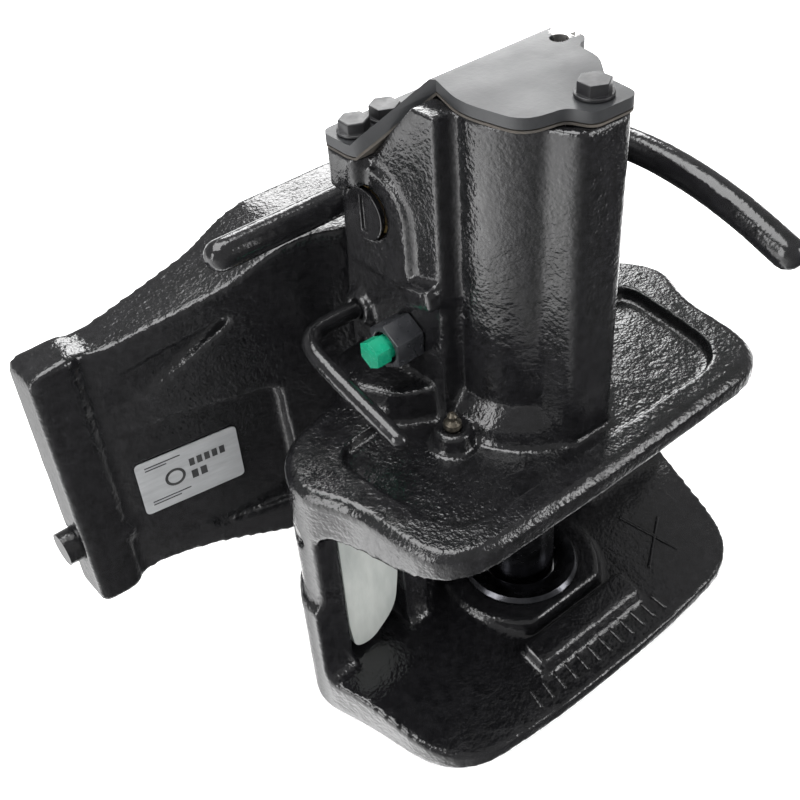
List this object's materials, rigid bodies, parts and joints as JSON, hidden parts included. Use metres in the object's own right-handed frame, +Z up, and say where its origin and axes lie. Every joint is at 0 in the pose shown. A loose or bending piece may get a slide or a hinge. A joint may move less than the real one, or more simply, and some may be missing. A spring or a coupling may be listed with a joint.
{
  "type": "automatic trailer coupling",
  "caption": "Cast clevis-mouth automatic pin coupling with hand lever, swivelling in a ladder-frame carriage with sprung locking pins.",
  "frame": {"origin": "middle of the bounding box seen from above, level with the underside of the lower jaw; the coupling pin is 41 mm in front of it", "axes": "+Z up along the coupling pin, -Y out of the mouth towards the trailer, +X to the right seen from the trailer"},
  "size_m": [0.406, 0.2736, 0.3275],
  "materials": {
    "cast_paint": "thick gloss black paint over rough sand casting",
    "bar_paint": "satin black paint on round bar",
    "cover_paint": "satin black paint on laser-cut sheet",
    "gasket_paper": "dark fibre gasket",
    "bolt_paint": "black painted hexagon bolts, worn corners",
    "hardened_steel": "oiled dark hardened steel",
    "machined_steel": "turned bright steel",
    "bearing_bronze": "machined bearing bronze",
    "spring_steel": "dark oil-tempered wire",
    "gland_black": "dull black hexagon gland",
    "green_plastic": "moulded green plastic",
    "zinc_plated": "matt zinc plating on forged steel",
    "nipple_brass": "passivated nipple, oily",
    "label_metal": null
  },
  "bodies": {
    "carriage": {"carriage": "cast_paint", "swivel_bush": "bearing_bronze", "brake_washer": "machined_steel", "type_plate": "label_metal", "locking_spring_left": "spring_steel", "locking_spring_right": "spring_steel"},
    "jaw": {"jaw_casting": "cast_paint", "cover_plate": "cover_paint", "cover_gasket": "gasket_paper", "cover_bolt_front": "bolt_paint", "cover_bolt_rear_1": "bolt_paint", "cover_bolt_rear_2": "bolt_paint", "upper_guide_bush": "machined_steel", "lower_guide_bush": "machined_steel", "wear_ring": "hardened_steel", "shaft_bush_left": "bearing_bronze", "shaft_bush_right": "bearing_bronze", "indicator_gland": "gland_black", "trip_pivot_pin": "machined_steel", "grease_nipple": "nipple_brass", "swivel_nut": "machined_steel"},
    "pin": {"coupling_pin": "hardened_steel", "lift_pin": "machined_steel"},
    "lifter": {"lift_shaft": "machined_steel", "shaft_cap": "bar_paint", "shaft_collar": "machined_steel", "lifting_arm": "machined_steel", "closing_spring": "spring_steel"},
    "hand_lever": {"hand_lever": "bar_paint", "lever_stop_ring": "machined_steel"},
    "release_crank": {"release_crank": "bar_paint"},
    "indicator": {"indicator_button": "green_plastic", "indicator_stem": "machined_steel"},
    "trip_lever": {"trip_plate_front": "zinc_plated", "trip_plate_rear": "zinc_plated"},
    "lock_left": {"locking_pin_left": "bar_paint", "locking_knob_left": "bar_paint"},
    "lock_right": {"locking_pin_right": "bar_paint", "locking_knob_right": "bar_paint"}
  },
  "joints": [
    {"name": "jaw_swivel", "type": "hinge", "parent": "carriage", "child": "jaw", "pos_m": [0, 0.059, 0.085], "axis": [0, 1, 0], "continuous": true},
    {"name": "pin_lift", "type": "slide", "parent": "jaw", "child": "pin", "axis": [0, 0, 1], "range_m": [0, 0.112]},
    {"name": "hand_lever_lift", "type": "hinge", "parent": "jaw", "child": "hand_lever", "pos_m": [0, 0.049, 0.241], "axis": [-1, 0, 0], "range_deg": [0, 60]},
    {"name": "lifting_shaft_turn", "type": "hinge", "parent": "jaw", "child": "lifter", "pos_m": [0, 0.013, 0.254], "axis": [-1, 0, 0], "range_deg": [0, 92.5]},
    {"name": "release_crank_lift", "type": "hinge", "parent": "jaw", "child": "release_crank", "pos_m": [0, 0.029, 0.192], "axis": [-1, 0, 0], "range_deg": [0, 40]},
    {"name": "indicator_press", "type": "slide", "parent": "jaw", "child": "indicator", "axis": [1, 0, 0], "range_m": [0, 0.006], "stiffness_N_per_m": 300, "springref_m": -0.004},
    {"name": "trip_lever_push", "type": "hinge", "parent": "jaw", "child": "trip_lever", "pos_m": [-0.092, -0.016, 0.122], "axis": [1, 0, 0], "range_deg": [0, 8]},
    {"name": "left_lock_retract", "type": "slide", "parent": "carriage", "child": "lock_left", "axis": [1, 0, 0], "range_m": [0, 0.016], "stiffness_N_per_m": 1500, "springref_m": -0.01},
    {"name": "right_lock_retract", "type": "slide", "parent": "carriage", "child": "lock_right", "axis": [-1, 0, 0], "range_m": [0, 0.016], "stiffness_N_per_m": 1500, "springref_m": -0.01}
  ],
  "couplings": [
    {"joint": "pin_lift", "follows": "hand_lever_lift", "m_per_rad": 0.10695},
    {"joint": "lifting_shaft_turn", "follows": "hand_lever_lift", "ratio": 1.5417}
  ]
}
